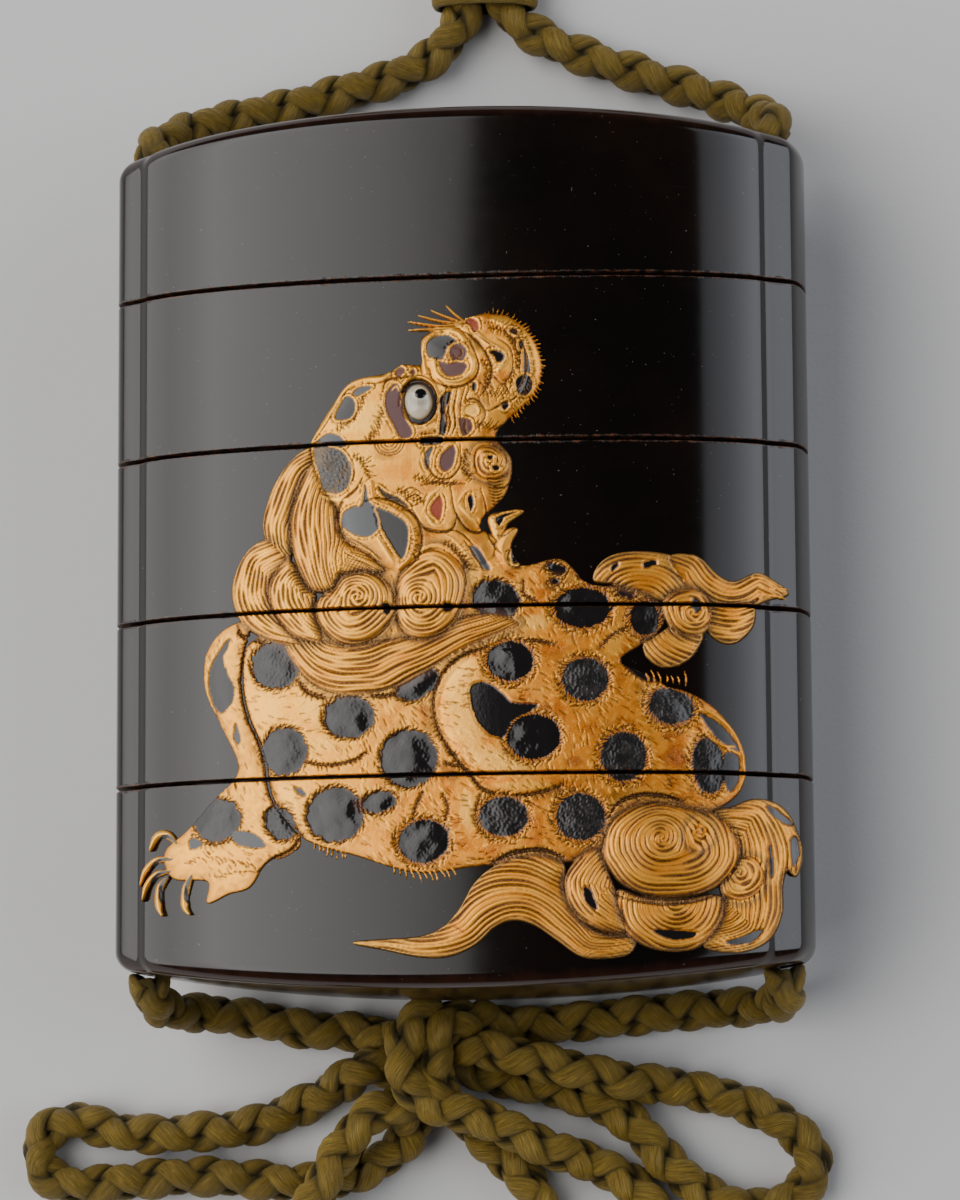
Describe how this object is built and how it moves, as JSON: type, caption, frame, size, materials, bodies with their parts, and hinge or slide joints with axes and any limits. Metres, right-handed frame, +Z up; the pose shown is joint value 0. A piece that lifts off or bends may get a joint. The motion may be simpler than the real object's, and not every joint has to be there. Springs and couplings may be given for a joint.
{
  "type": "inro case",
  "caption": "Flattened lacquer case of stacked boxes under a lid, threaded on a silk cord, with a lion in raised gold lacquer on its front.",
  "frame": {"origin": "on the ground under the middle of the case, which lies on its back", "axes": "+X across the case to the right, seen from the front; +Y along it, towards the lid; +Z up, out of the decorated front"},
  "size_m": [0.0709, 0.1732, 0.0241],
  "materials": {
    "lacquer": "thin wood under black-brown lacquer polished like a mirror, with raised gold lacquer",
    "shell": "polished pale inlay",
    "silk": "braided silk"
  },
  "bodies": {
    "root": {"lid": "lacquer", "case_1": "lacquer", "case_2": "lacquer", "case_3": "lacquer", "case_4": "lacquer", "eye_inlay": "shell", "cord_side_left": "silk", "cord_side_right": "silk", "cord_upper_left": "silk", "cord_upper_right": "silk", "cord_lower_left": "silk", "cord_lower_right": "silk", "bow_loop_right": "silk", "bow_loop_left": "silk", "bow_tail": "silk", "bow_lower_loop": "silk", "cord_coil": "silk", "cord_tie": "silk", "bow_knot": "silk", "cord_end_knot": "silk"}
  },
  "joints": []
}
